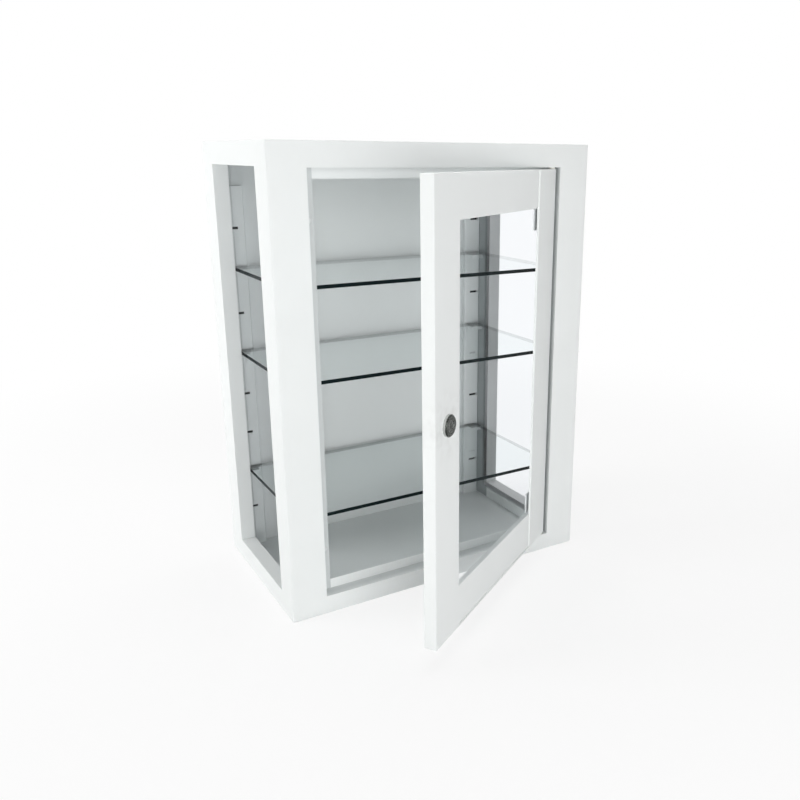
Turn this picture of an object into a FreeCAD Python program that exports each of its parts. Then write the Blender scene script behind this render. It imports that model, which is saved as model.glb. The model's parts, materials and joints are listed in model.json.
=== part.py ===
"""Wall or bench medicine cabinet: steel carcass, glass sides and shelves, framed glass door with a cam lock.

Frame: millimetres, +Z up, +X to the right, the door faces -Y.
The origin is the middle of the carcass underside. The door is drawn partly open.
"""
import FreeCAD
import Part
import Sketcher

import math
import os
import re

# Driving dimensions, in millimetres and degrees, and plain counts
SIZES = {
    # Carcass
    "width": 458,
    "depth": 258,
    "height": 600,
    "sheet": 1,
    "panel_sheet": 1.2,
    "panel_round_share": 0.8,
    "edge_round": 2.5,
    "post_width": 47.5,
    "frame_depth": 20,
    "top_rail": 30,
    "bottom_rail": 25,
    "side_thick": 19.5,
    "side_stile": 20,
    "rear_post": 44.5,
    "side_rail": 29,
    "back_recess": 3.8,
    # Wall fixing
    "wall_hole": 7,
    "wall_hole_spacing": 300,
    "wall_hole_drop": 22,
    # Door stop and its buffers
    "stop_width": 13,
    "stop_sheet": 1.5,
    "buffer_width": 8,
    "buffer_inset": 60,
    "buffer_clear": 0.3,
    # Side panes
    "pane": 4,
    "pane_lap": 7,
    "tape": 0.8,
    # Slotted uprights
    "upright_width": 28,
    "upright_depth": 8,
    "upright_top": 542,
    "upright_round": 2.2,
    "slot_width": 15,
    "slot_height": 3.5,
    "slot_inset": 30,
    "slot_bottom": 65,
    "slot_pitch": 60,
    "slot_count": 8,
    # Shelves and their clips
    "shelf": 5,
    "shelf_end_gap": 0.7,
    "shelf_front_gap": 3.3,
    "shelf_rear_gap": 2,
    "shelf_arris": 0.6,
    "clip_sheet": 1.5,
    "clip_width": 20,
    "clip_reach": 12,
    "clip_rise": 2.3,
    "clip_drop": 3.2,
    "tongue_width": 13,
    "tongue": 1.6,
    "tongue_depth": 5,
    # Door
    "open_angle": 32.5,
    "door_thick": 16.5,
    "free_gap": 2,
    "hinge_gap": 5.5,
    "end_gap": 2.5,
    "door_round": 1.5,
    "door_stile": 60,
    "door_top": 49,
    "door_bottom": 54,
    "rail_setback": 1.5,
    "rail_round": 1,
    "lip": 3,
    "rebate": 10,
    "hinge_rebate": 36,
    "door_pane": 4,
    "door_pane_gap": 2,
    # Clips that hold the door pane
    "pane_clip_sheet": 1.5,
    "pane_clip_length": 29,
    "pane_clip_setback": 0.5,
    "clip_screw": 3,
    "clip_screw_head": 5.5,
    "clip_screw_head_thick": 1.6,
    "clip_screw_point": 3,
    # Pivot hinge
    "pivot_inset": 6,
    "pivot_setback": 4.5,
    "pin": 4,
    "pin_in_door": 12,
    "pin_in_rail": 8,
    "pin_running_gap": 0.05,
    "bush_wall": 1,
    "bush_flange_lap": 1.2,
    "bush_flange_gap": 0.2,
    "block_width": 14,
    "block_height": 16,
    # Cam lock
    "lock_face": 26,
    "lock_face_proud": 4.5,
    "lock_face_bevel": 1.5,
    "lock_body": 19,
    "lock_hole_gap": 0.2,
    "lock_tail": 4,
    "nut_width": 24,
    "nut_thick": 3.5,
    "plug": 12,
    "plug_head": 15,
    "plug_head_thick": 1.8,
    "plug_recess": 0.8,
    "plug_gap": 0.05,
    "plug_tail": 0.5,
    "key_slot_height": 7.5,
    "key_slot_width": 1.6,
    "key_slot_depth": 3,
    "cam_width": 15,
    "cam_thick": 2,
    "cam_reach": 30,
    "cam_screw": 4,
    "cam_screw_gap": 0.1,
    "cam_screw_head": 8,
    "cam_screw_head_thick": 2.5,
    "cam_screw_depth": 7,
    # Every cut runs this far past the face that it leaves by
    "overrun": 1,
}

# The slot row, counted from the lowest, that carries each shelf
SHELF_ROWS = {"lower": 1, "middle": 4, "upper": 6}

# Places shared by several pieces, as formulas of the sizes
LEFT = "(-width/2)"
FRONT = "(-depth/2)"
POST_REAR = "(frame_depth - depth/2)"
SIDE_FRONT = "(frame_depth + side_stile - depth/2)"
SIDE_REAR = "(depth/2 - rear_post)"
WINDOW_DEPTH = "(depth - frame_depth - side_stile - rear_post)"
WINDOW_HEIGHT = "(height - 2*side_rail)"
POST_HEIGHT = "(height - 2*panel_sheet)"
INNER_WIDTH = "(width - 2*side_thick)"
BACK_FACE = "(depth/2 - back_recess - panel_sheet)"
UPRIGHT_FACE = "(depth/2 - back_recess - panel_sheet - upright_depth)"
OPENING_WIDTH = "(width - 2*post_width)"
OPENING_HEIGHT = "(height - top_rail - bottom_rail)"
OPENING_LEFT = "(post_width - width/2)"
OPENING_TOP = "(height - top_rail)"
PANE_FACE = "(side_thick + tape + pane)"
DOOR_WIDTH = "(width - 2*post_width - free_gap - hinge_gap)"
DOOR_BOTTOM = "(bottom_rail + end_gap)"
DOOR_HEIGHT = "(height - top_rail - bottom_rail - 2*end_gap)"
DOOR_TOP = "(height - top_rail - end_gap)"
DOOR_WINDOW_WIDTH = "(width - 2*post_width - free_gap - hinge_gap - 2*door_stile)"
DOOR_WINDOW_HEIGHT = "(height - top_rail - bottom_rail - 2*end_gap - door_top - door_bottom)"
DOOR_WINDOW_BOTTOM = "(bottom_rail + end_gap + door_bottom)"
PANE_REAR = "(lip + door_pane)"
HINGE_X = "(width/2 - post_width - hinge_gap - pivot_inset)"
HINGE_Y = "(pivot_setback - depth/2)"
# Door places are counted from the hinge axis, with the door shut
DOOR_FREE = "(pivot_inset - width + 2*post_width + free_gap + hinge_gap)"
DOOR_FACE = "(-pivot_setback)"
LOCK_X = f"({DOOR_FREE} + door_stile/2)"
LOCK_Z = "((height - top_rail + bottom_rail)/2)"
# The door pane's clips stand at the ends of its window, and their screws halfway along their legs
CLIP_HEIGHTS = {
    "low": f"({DOOR_WINDOW_BOTTOM} + pane_clip_length/2)",
    "high": f"({DOOR_WINDOW_BOTTOM} + {DOOR_WINDOW_HEIGHT} - pane_clip_length/2)",
}
CLIP_SCREW_Y = f"(({PANE_REAR} + pane_clip_sheet + door_thick - pane_clip_setback)/2)"
BARREL_END = "(door_thick + lock_tail)"
PLUG_END = "(door_thick + lock_tail + plug_tail)"

doc = FreeCAD.newDocument("MedicineCabinet")
sheet = doc.addObject("Spreadsheet::Sheet", "Sizes")
for row, (alias, value) in enumerate(SIZES.items(), start=1):
    sheet.set(f"A{row}", alias)
    sheet.set(f"B{row}", str(value))
    sheet.setAlias(f"B{row}", alias)
doc.recompute()

pieces = []

# Turns that lay a Z axis along Y or along X
TO_Y = FreeCAD.Rotation(FreeCAD.Vector(1, 0, 0), -90)
TO_X = FreeCAD.Rotation(FreeCAD.Vector(0, 1, 0), 90)


def formula(text):
    """Point every size name in a formula at its cell."""
    def cell(match):
        name = match.group(0)
        return f"Sizes.{name}" if name in SIZES else name
    return re.sub(r"[a-z_]+", cell, text)


def bind(obj, prop, text):
    obj.setExpression(prop, formula(text))


def place(obj, x="0", y="0", z="0"):
    for axis, text in zip("xyz", (x, y, z)):
        bind(obj, f"Placement.Base.{axis}", text)
    return obj


def hang(obj, x="0", y="0", z="0"):
    """Place a door piece, given from the hinge axis with the door shut, at the opening angle."""
    bind(obj, "Placement.Base.x", f"{HINGE_X} + ({x})*cos(open_angle) - ({y})*sin(open_angle)")
    bind(obj, "Placement.Base.y", f"{HINGE_Y} + ({x})*sin(open_angle) + ({y})*cos(open_angle)")
    bind(obj, "Placement.Base.z", z)
    bind(obj, "Placement.Rotation.Angle", "open_angle")
    return obj


def piece(obj, label):
    """Give a finished sub-part the name that it is handed in under."""
    obj.Label = label
    pieces.append(obj)
    return obj


def box(name, length, width, height, x="0", y="0", z="0"):
    obj = doc.addObject("Part::Box", name)
    for prop, text in zip(("Length", "Width", "Height"), (length, width, height)):
        bind(obj, prop, text)
    return place(obj, x, y, z)


def cylinder(name, diameter, height, x="0", y="0", z="0", turn=None):
    obj = doc.addObject("Part::Cylinder", name)
    bind(obj, "Radius", f"({diameter})/2")
    bind(obj, "Height", height)
    if turn:
        obj.Placement.Rotation = turn
    return place(obj, x, y, z)


def cut(name, base, *tools):
    for number, tool in enumerate(tools, start=1):
        step = doc.addObject("Part::Cut", f"{name}_cut{number}")
        step.Base = base
        step.Tool = tool
        base = step
    return base


def fuse(name, *shapes):
    obj = doc.addObject("Part::MultiFuse", name)
    obj.Shapes = list(shapes)
    obj.Refine = True
    return obj


def group(name, *shapes):
    obj = doc.addObject("Part::Compound", name)
    obj.Links = list(shapes)
    return obj


def mirror(source, name):
    """The right-hand copy of a left-hand piece."""
    obj = doc.addObject("Part::Mirroring", name)
    obj.Source = source
    obj.Normal = FreeCAD.Vector(1, 0, 0)
    return obj


def pair(left, stem):
    """Hand in a left-hand piece and its mirror image."""
    piece(left, f"{stem}_left")
    piece(mirror(left, f"{stem}_mirror"), f"{stem}_right")


def origin_feature(body, role):
    return next(part for part in body.Origin.OriginFeatures if part.Role == role)


def new_sketch(body, name, plane):
    sketch = body.newObject("Sketcher::SketchObject", name)
    sketch.AttachmentSupport = [(origin_feature(body, plane), "")]
    sketch.MapMode = "FlatFace"
    return sketch


def draw_outline(sketch, corners):
    """Draw a closed outline whose corners are pairs of formulas."""
    first = sketch.GeometryCount
    count = len(corners)
    turn = 2 * math.pi / count
    ring = [FreeCAD.Vector(math.cos(turn * i), math.sin(turn * i), 0) for i in range(count)]
    for i in range(count):
        sketch.addGeometry(Part.LineSegment(ring[i], ring[(i + 1) % count]))
    for i in range(count):
        sketch.addConstraint(Sketcher.Constraint("Coincident", first + i, 2, first + (i + 1) % count, 1))
    for i, corner in enumerate(corners):
        for kind, text, start in zip(("DistanceX", "DistanceY"), corner, ring[i]):
            number = sketch.addConstraint(Sketcher.Constraint(kind, -1, 1, first + i, 1, start))
            sketch.setExpression(f"Constraints[{number}]", formula(text))


def rectangle(width, height, inset="0"):
    near = inset
    far_x = f"{width} - {inset}"
    far_y = f"{height} - {inset}"
    return [(near, near), (far_x, near), (far_x, far_y), (near, far_y)]


def padded_body(name, outlines, length, plane="XY_Plane"):
    """A body whose section is the first outline less the others, padded to a length."""
    body = doc.addObject("PartDesign::Body", name)
    sketch = new_sketch(body, f"{name}_section", plane)
    for corners in outlines:
        draw_outline(sketch, corners)
    pad = body.newObject("PartDesign::Pad", f"{name}_pad")
    pad.Profile = sketch
    bind(pad, "Length", length)
    doc.recompute()
    return body


def turned_body(name, corners):
    """A body turned about its own Y axis from radius and length pairs."""
    body = doc.addObject("PartDesign::Body", name)
    sketch = new_sketch(body, f"{name}_profile", "XY_Plane")
    draw_outline(sketch, corners)
    turned = body.newObject("PartDesign::Revolution", f"{name}_turned")
    turned.Profile = sketch
    turned.ReferenceAxis = (sketch, ["V_Axis"])
    turned.Angle = 360
    doc.recompute()
    return body


def round_parts(body, name, base, names, radius):
    fillet = body.newObject("PartDesign::Fillet", name)
    fillet.Base = (base, names)
    bind(fillet, "Radius", radius)
    doc.recompute()
    return body


def round_edges(body, name, spots, radius, along=FreeCAD.Vector(0, 0, 1)):
    """Round the edges of a body that run in one direction through the given local places."""
    base = body.Tip
    near = SIZES["sheet"] / 4
    names = []
    for number, edge in enumerate(base.Shape.Edges, start=1):
        ends = [vertex.Point for vertex in edge.Vertexes]
        for spot in spots:
            if all((end - spot).cross(along).Length < near for end in ends):
                names.append(f"Edge{number}")
    return round_parts(body, name, base, names, radius)


def round_rim(body, name, facing, radius):
    """Round every edge of the flat face that looks in one direction."""
    base = body.Tip
    near = SIZES["sheet"] / SIZES["width"]
    names = [
        f"Face{number}" for number, face in enumerate(base.Shape.Faces, start=1)
        if face.normalAt(0, 0).isEqual(facing, near)
    ]
    return round_parts(body, name, base, names, radius)


def corner(x, y):
    return FreeCAD.Vector(x, y, 0)


def plan_corners(body):
    """The four corners of a body, seen from above."""
    outer = body.Tip.Shape.BoundBox
    return [corner(x, y) for x in (outer.XMin, outer.XMax) for y in (outer.YMin, outer.YMax)]


def bore(body, name, diameter, length, x="0", y="0", z="0", turn=None):
    """Bore a hole in a body: along Z, or along the axis that Z is turned to."""
    hole = body.newObject("PartDesign::SubtractiveCylinder", name)
    bind(hole, "Radius", f"({diameter})/2")
    bind(hole, "Height", length)
    if turn:
        hole.Placement.Rotation = turn
    place(hole, x, y, z)
    return body


def notch(body, name, length, width, height, x="0", y="0", z="0"):
    """Cut a box out of a body."""
    gap = body.newObject("PartDesign::SubtractiveBox", name)
    for prop, text in zip(("Length", "Width", "Height"), (length, width, height)):
        bind(gap, prop, text)
    place(gap, x, y, z)
    return body


def cut_slots(body, name, x, y, z, depth):
    """Cut the row of clip slots through a wall of a body."""
    notch(body, f"{name}_slot", "slot_width", depth, "slot_height", x, y, z)
    doc.recompute()
    slot = body.Tip
    row = body.newObject("PartDesign::LinearPattern", f"{name}_slots")
    row.Originals = [slot]
    row.Direction = (origin_feature(body, "Z_Axis"), [""])
    bind(row, "Length", "slot_pitch*(slot_count - 1)")
    bind(row, "Occurrences", "slot_count")
    body.Tip = row
    doc.recompute()
    return body


def slot_height_at(row):
    return f"(slot_bottom + {row}*slot_pitch)"


def make_front_frame():
    """Two hollow posts, slotted at the rear for the shelf clips, and the rails between them."""
    post = padded_body(
        "front_post",
        [rectangle("post_width", "frame_depth"), rectangle("post_width", "frame_depth", "sheet")],
        POST_HEIGHT,
    )
    round_edges(post, "front_post_edge", [corner(0, 0)], "edge_round")
    cut_slots(
        post, "front_post",
        "slot_inset - slot_width/2",
        "frame_depth - sheet - overrun",
        "slot_bottom - slot_height/2 - panel_sheet",
        "sheet + 2*overrun",
    )
    pair(place(post, LEFT, FRONT, "panel_sheet"), "front_post")
    for end, tall, low, wall in (
        ("top", "top_rail - panel_sheet", OPENING_TOP, OPENING_TOP),
        ("bottom", "bottom_rail - panel_sheet", "panel_sheet", "bottom_rail - sheet"),
    ):
        rail = box(f"front_rail_{end}_skin", OPENING_WIDTH, "frame_depth", tall, OPENING_LEFT, FRONT, low)
        hollow = box(
            f"front_rail_{end}_hollow",
            f"{OPENING_WIDTH} + 2*overrun", "frame_depth - 2*sheet", f"{tall} - 2*sheet",
            f"{OPENING_LEFT} - overrun", f"{FRONT} + sheet", f"{low} + sheet",
        )
        seat = cylinder(
            f"front_rail_{end}_bush_hole", "pin + 2*(pin_running_gap + bush_wall)", "sheet + 2*overrun",
            HINGE_X, HINGE_Y, f"{wall} - overrun",
        )
        piece(cut(f"front_rail_{end}", rail, hollow, seat), f"front_rail_{end}")


def make_side_frames():
    """Stile, rear post and two rails on each side, all hollow sections."""
    stile = padded_body(
        "side_stile",
        [rectangle("side_thick", "side_stile"), rectangle("side_thick", "side_stile", "sheet")],
        POST_HEIGHT,
    )
    pair(place(stile, LEFT, POST_REAR, "panel_sheet"), "side_stile")
    post = padded_body(
        "rear_post",
        [rectangle("side_thick", "rear_post"), rectangle("side_thick", "rear_post", "sheet")],
        POST_HEIGHT,
    )
    round_edges(post, "rear_post_edge", [corner(0, SIZES["rear_post"])], "edge_round")
    pair(place(post, LEFT, SIDE_REAR, "panel_sheet"), "rear_post")
    for end, low in (("top", "height - side_rail"), ("bottom", "panel_sheet")):
        rail = padded_body(
            f"side_rail_{end}",
            [
                rectangle("side_thick", "(side_rail - panel_sheet)"),
                rectangle("side_thick", "(side_rail - panel_sheet)", "sheet"),
            ],
            WINDOW_DEPTH,
            "XZ_Plane",
        )
        rail.Tip.Reversed = True
        pair(place(rail, LEFT, SIDE_FRONT, low), f"side_rail_{end}")


def make_panels():
    """Top and floor over the whole plan, and the back between the rear posts."""
    up = FreeCAD.Vector(0, 0, 1)
    for name, low, facing in (("top_panel", "height - panel_sheet", up), ("floor_panel", "0", -up)):
        body = padded_body(name, [rectangle("width", "depth")], "panel_sheet")
        round_edges(body, f"{name}_corners", plan_corners(body), "edge_round")
        round_rim(body, f"{name}_rim", facing, "panel_sheet*panel_round_share")
        piece(place(body, LEFT, FRONT, low), name)
    back = box(
        "back_sheet", INNER_WIDTH, "panel_sheet", POST_HEIGHT,
        f"{LEFT} + side_thick", BACK_FACE, "panel_sheet",
    )
    holes = [
        cylinder(
            f"wall_hole_{name}", "wall_hole", "panel_sheet + 2*overrun",
            f"{sign}*wall_hole_spacing/2", f"{BACK_FACE} - overrun", "height - wall_hole_drop", turn=TO_Y,
        )
        for name, sign in (("left", -1), ("right", 1))
    ]
    piece(cut("back_panel", back, *holes), "back_panel")


def make_door_stop():
    """Flat strips round the opening that the shut door meets, and the buffers on the free side."""
    y = f"{POST_REAR} - stop_sheet"
    left = box("stop_left", "stop_width", "stop_sheet", OPENING_HEIGHT, OPENING_LEFT, y, "bottom_rail")
    pair(left, "door_stop")
    for end, low in (("top", f"{OPENING_TOP} - stop_width"), ("bottom", "bottom_rail")):
        strip = box(
            f"stop_{end}", f"{OPENING_WIDTH} - 2*stop_width", "stop_sheet", "stop_width",
            f"{OPENING_LEFT} + stop_width", y, low,
        )
        piece(strip, f"door_stop_{end}")
    thick = "(frame_depth - stop_sheet - door_thick - buffer_clear)"
    buffers = [
        cylinder(
            f"buffer_{end}", "buffer_width", thick,
            f"{OPENING_LEFT} + stop_width/2", f"{y} - {thick}", z, turn=TO_Y,
        )
        for end, z in (("top", f"{OPENING_TOP} - buffer_inset"), ("bottom", "bottom_rail + buffer_inset"))
    ]
    piece(group("buffers", *buffers), "door_buffers")


def make_side_panes():
    """Fixed glass inside each side frame, held by a strip of tape all round."""
    y = f"{SIDE_FRONT} - pane_lap"
    z = "side_rail - pane_lap"
    deep = f"{WINDOW_DEPTH} + 2*pane_lap"
    tall = f"{WINDOW_HEIGHT} + 2*pane_lap"
    glass = box("pane_glass", "pane", deep, tall, f"{LEFT} + side_thick + tape", y, z)
    pair(glass, "side_pane")
    x = f"{LEFT} + side_thick"
    strips = [
        box("tape_front", "tape", "pane_lap", tall, x, y, z),
        box("tape_rear", "tape", "pane_lap", tall, x, SIDE_REAR, z),
        box("tape_low", "tape", WINDOW_DEPTH, "pane_lap", x, SIDE_FRONT, z),
        box("tape_high", "tape", WINDOW_DEPTH, "pane_lap", x, SIDE_FRONT, "height - side_rail"),
    ]
    pair(group("tape_strips", *strips), "pane_tape")


def make_uprights():
    """Slotted channels in the rear corners, open to the back panel."""
    inner = "upright_width - sheet"
    outline = [
        ("0", "0"), ("upright_width", "0"), ("upright_width", "upright_depth"), (inner, "upright_depth"),
        (inner, "sheet"), ("sheet", "sheet"), ("sheet", "upright_depth"), ("0", "upright_depth"),
    ]
    channel = padded_body("upright", [outline], "upright_top - panel_sheet")
    round_edges(channel, "upright_edges", [corner(0, 0), corner(SIZES["upright_width"], 0)], "upright_round")
    cut_slots(
        channel, "upright",
        "slot_inset - side_thick - slot_width/2", "-overrun",
        "slot_bottom - slot_height/2 - panel_sheet", "sheet + 2*overrun",
    )
    pair(place(channel, f"{LEFT} + side_thick", UPRIGHT_FACE, "panel_sheet"), "upright")


def make_clip(name, face, inward, row):
    """A bent clip: tongue in the slot, plate on the wall, ledge under the glass and a turned-down lip."""
    def run(start, length):
        return f"{face} + ({start})" if inward > 0 else f"{face} - ({start}) - ({length})"

    x = f"{LEFT} + slot_inset - clip_width/2"
    top = f"{slot_height_at(row)} + clip_rise"
    drop = "clip_rise + clip_drop"
    low = f"{top} - ({drop})"
    ledge = box(
        f"{name}_ledge", "clip_width", "clip_reach", "clip_sheet",
        x, run("0", "clip_reach"), f"{top} - clip_sheet",
    )
    plate = box(f"{name}_plate", "clip_width", "clip_sheet", drop, x, run("0", "clip_sheet"), low)
    lip = box(
        f"{name}_lip", "clip_width", "clip_sheet", drop,
        x, run("clip_reach - clip_sheet", "clip_sheet"), low,
    )
    tongue = box(
        f"{name}_tongue", "tongue_width", "tongue_depth", "tongue",
        f"{LEFT} + slot_inset - tongue_width/2", run("-tongue_depth", "tongue_depth"),
        f"{slot_height_at(row)} - tongue/2",
    )
    return fuse(name, ledge, plate, lip, tongue)


def make_shelves():
    """Three glass shelves, each on four clips."""
    front = f"({POST_REAR} + shelf_front_gap)"
    deep = f"({UPRIGHT_FACE} - shelf_rear_gap - {front})"
    wide = f"(width - 2*({PANE_FACE} + shelf_end_gap))"
    for name, row in SHELF_ROWS.items():
        clips = [
            make_clip(f"clip_{name}_front", POST_REAR, 1, row),
            make_clip(f"clip_{name}_rear", UPRIGHT_FACE, -1, row),
        ]
        clips += [mirror(clip, f"{clip.Name}_mirror") for clip in clips]
        piece(group(f"clips_{name}", *clips), f"shelf_clips_{name}")
        glass = padded_body(f"shelf_{name}", [rectangle(wide, deep)], "shelf")
        plate = glass.Tip
        arris = glass.newObject("PartDesign::Chamfer", f"shelf_{name}_arris")
        arris.Base = (plate, ["Face5", "Face6"])
        bind(arris, "Size", "shelf_arris")
        low = f"{slot_height_at(row)} + clip_rise"
        piece(place(glass, f"-{wide}/2", front, low), f"shelf_{name}")


def make_door_stiles():
    """Hollow stiles with a lip over the glass; the free one has the lock's hole."""
    tall = f"({DOOR_HEIGHT} - 2*sheet)"
    low = f"{DOOR_BOTTOM} + sheet"
    wide, thick = SIZES["door_stile"], SIZES["door_thick"]
    for name, place_x, lip_width, wall in (
        ("lock", DOOR_FREE, "rebate", "door_stile - rebate - sheet"),
        ("hinge", "pivot_inset - door_stile", "hinge_rebate", "hinge_rebate"),
    ):
        tube = f"(door_stile - {lip_width})"
        outline = [
            ("0", "0"), ("door_stile", "0"), ("door_stile", "lip"), (tube, "lip"),
            (tube, "door_thick"), ("0", "door_thick"),
        ]
        hollow = [
            ("sheet", "sheet"), (f"{tube} - sheet", "sheet"),
            (f"{tube} - sheet", "door_thick - sheet"), ("sheet", "door_thick - sheet"),
        ]
        outlines = [outline, hollow]
        spots = [corner(0, 0), corner(0, thick), corner(wide, 0)]
        if name == "hinge":
            outlines = [[(f"door_stile - ({x})", y) for x, y in corners] for corners in outlines]
            spots = [corner(wide - spot.x, spot.y) for spot in spots]
        stile = padded_body(f"door_stile_{name}", outlines, tall)
        round_edges(stile, f"door_stile_{name}_edges", spots, "door_round")
        if name == "lock":
            bore(
                stile, "lock_hole", "lock_body + lock_hole_gap", "door_thick + 2*overrun",
                "door_stile/2", "-overrun", f"{LOCK_Z} - ({low})", TO_Y,
            )
        for end, z in CLIP_HEIGHTS.items():
            bore(
                stile, f"clip_screw_hole_{name}_{end}", "clip_screw", "sheet + 2*overrun",
                f"{wall} - overrun", CLIP_SCREW_Y, f"{z} - ({low})", TO_X,
            )
        piece(hang(stile, place_x, DOOR_FACE, low), f"door_stile_{name}")


def make_door_rails():
    """Hollow rails between the stiles, set back a little, with their own lip over the glass."""
    long = f"({DOOR_WINDOW_WIDTH} + rebate + hinge_rebate)"
    for name, rail, low in (
        ("top", "door_top", f"{DOOR_TOP} - door_top"),
        ("bottom", "door_bottom", f"{DOOR_BOTTOM} + sheet"),
    ):
        tall = f"({rail} - sheet)"
        outline = [
            ("rail_setback", "0"), ("lip", "0"), ("lip", "rebate"), ("door_thick", "rebate"),
            ("door_thick", tall), ("rail_setback", tall),
        ]
        hollow = [
            ("rail_setback + sheet", "rebate + sheet"), ("door_thick - sheet", "rebate + sheet"),
            ("door_thick - sheet", f"{tall} - sheet"), ("rail_setback + sheet", f"{tall} - sheet"),
        ]
        outlines = [outline, hollow]
        window_edge = 0
        if name == "bottom":
            outlines = [[(y, f"{tall} - ({z})") for y, z in corners] for corners in outlines]
            window_edge = SIZES[rail] - SIZES["sheet"]
        body = padded_body(f"door_rail_{name}", outlines, long, "YZ_Plane")
        # The ends go behind the stiles' lips, so their front is cut away
        for side, behind, x in (
            ("left", "rebate", "-overrun"), ("right", "hinge_rebate", f"{long} - hinge_rebate"),
        ):
            notch(
                body, f"door_rail_{name}_{side}_notch", f"{behind} + overrun", "lip + overrun",
                f"{tall} + 2*overrun", x, "-overrun", "-overrun",
            )
        doc.recompute()
        spot = FreeCAD.Vector(0, SIZES["rail_setback"], window_edge)
        round_edges(body, f"door_rail_{name}_edge", [spot], "rail_round", FreeCAD.Vector(1, 0, 0))
        piece(hang(body, f"{DOOR_FREE} + door_stile - rebate", DOOR_FACE, low), f"door_rail_{name}")


def make_door_edges():
    """Strips that close the top and bottom edge of the door, each with a hole for its pivot pin."""
    for name, low in (("top", f"{DOOR_TOP} - sheet"), ("bottom", DOOR_BOTTOM)):
        strip = padded_body(f"door_edge_{name}", [rectangle(DOOR_WIDTH, "door_thick")], "sheet")
        round_edges(strip, f"door_edge_{name}_corners", plan_corners(strip), "door_round")
        bore(
            strip, f"door_edge_{name}_hole", "pin", "sheet + 2*overrun",
            f"{DOOR_WIDTH} - pivot_inset", "pivot_setback", "-overrun",
        )
        piece(hang(strip, DOOR_FREE, DOOR_FACE, low), f"door_edge_{name}")


def make_door_glass():
    """The pane behind the lips, and the screwed clips that hold it at its corners."""
    lap = "(rebate - door_pane_gap)"
    hinge_lap = "(hinge_rebate - door_pane_gap)"
    window_left = f"({DOOR_FREE} + door_stile)"
    wide = f"{DOOR_WINDOW_WIDTH} + {lap} + {hinge_lap}"
    tall = f"{DOOR_WINDOW_HEIGHT} + 2*{lap}"
    glass = box("door_glass", wide, "door_pane", tall)
    low = f"{DOOR_WINDOW_BOTTOM} - {lap}"
    piece(hang(glass, f"{window_left} - {lap}", f"{DOOR_FACE} + lip", low), "door_pane")
    clips = []
    screws = []
    # Each side gives the plate's width, and the left face of the clip's leg and plate and of its screw's
    # shank and head
    left = "(-rebate)"
    right = f"({DOOR_WINDOW_WIDTH} + hinge_rebate - pane_clip_sheet)"
    for side, plate_wide, leg_x, plate_x, shank_x, head_x in (
        ("lock", "rebate", left, left,
         f"({left} - sheet - clip_screw_point)", f"({left} + pane_clip_sheet)"),
        ("hinge", "hinge_rebate", right, DOOR_WINDOW_WIDTH,
         right, f"({right} - clip_screw_head_thick)"),
    ):
        for end, height in CLIP_HEIGHTS.items():
            middle = f"({height} - {DOOR_WINDOW_BOTTOM})"
            clips.append(make_pane_clip(f"pane_clip_{side}_{end}", plate_wide, leg_x, plate_x, middle))
            screws.append(make_clip_screw(f"clip_screw_{side}_{end}", shank_x, head_x, middle))
    y = f"{DOOR_FACE} + {PANE_REAR}"
    for label, solids in (("door_pane_clips", clips), ("pane_clip_screws", screws)):
        piece(hang(group(f"{label}_set", *solids), window_left, y, DOOR_WINDOW_BOTTOM), label)


def make_pane_clip(name, plate_wide, leg_x, plate_x, middle):
    """An angle whose plate lies on the glass and whose leg is screwed to the stile."""
    low = f"{middle} - pane_clip_length/2"
    deep = f"door_thick - {PANE_REAR} - pane_clip_setback"
    angle = fuse(
        f"{name}_angle",
        box(f"{name}_plate", plate_wide, "pane_clip_sheet", "pane_clip_length", plate_x, "0", low),
        box(f"{name}_leg", "pane_clip_sheet", deep, "pane_clip_length", leg_x, "0", low),
    )
    hole = cylinder(
        f"{name}_hole", "clip_screw", "pane_clip_sheet + 2*overrun",
        f"{leg_x} - overrun", f"{CLIP_SCREW_Y} - {PANE_REAR}", middle, TO_X,
    )
    return cut(name, angle, hole)


def make_clip_screw(name, shank_x, head_x, middle):
    """A pan-headed screw through the clip's leg and the wall of the stile."""
    y = f"{CLIP_SCREW_Y} - {PANE_REAR}"
    long = "pane_clip_sheet + sheet + clip_screw_point"
    return fuse(
        name,
        cylinder(f"{name}_shank", "clip_screw", long, shank_x, y, middle, TO_X),
        cylinder(f"{name}_head", "clip_screw_head", "clip_screw_head_thick", head_x, y, middle, TO_X),
    )


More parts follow.
